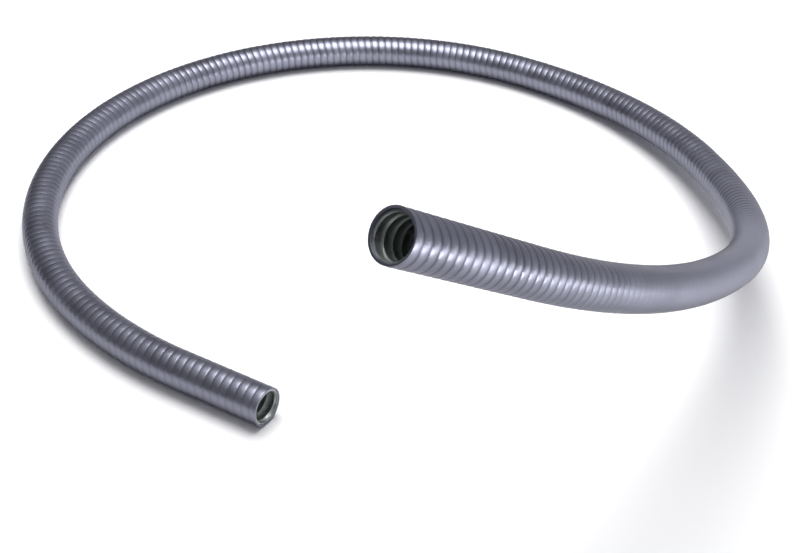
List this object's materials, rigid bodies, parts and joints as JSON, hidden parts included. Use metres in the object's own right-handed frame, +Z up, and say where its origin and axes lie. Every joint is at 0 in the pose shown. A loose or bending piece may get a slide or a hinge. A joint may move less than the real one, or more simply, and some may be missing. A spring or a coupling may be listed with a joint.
{
  "type": "liquidtight flexible conduit",
  "caption": "Cut length of liquidtight flexible conduit: ribbed grey plastic jacket over a strip-wound steel core, lying in an open loop with one end sprung up.",
  "frame": {"origin": "on the floor, under the middle of the loop's bounding box", "axes": "+Z up from the floor it lies on, +Y across the loop towards its closed back, the open side and the raised end towards -Y"},
  "size_m": [0.5487, 0.737, 0.2862],
  "materials": {
    "grey_pvc": "satin blue-grey, finely ribbed",
    "galvanized_steel": "dull galvanized strip"
  },
  "bodies": {
    "root": {"pvc_jacket": "grey_pvc", "steel_core": "galvanized_steel"}
  },
  "joints": []
}
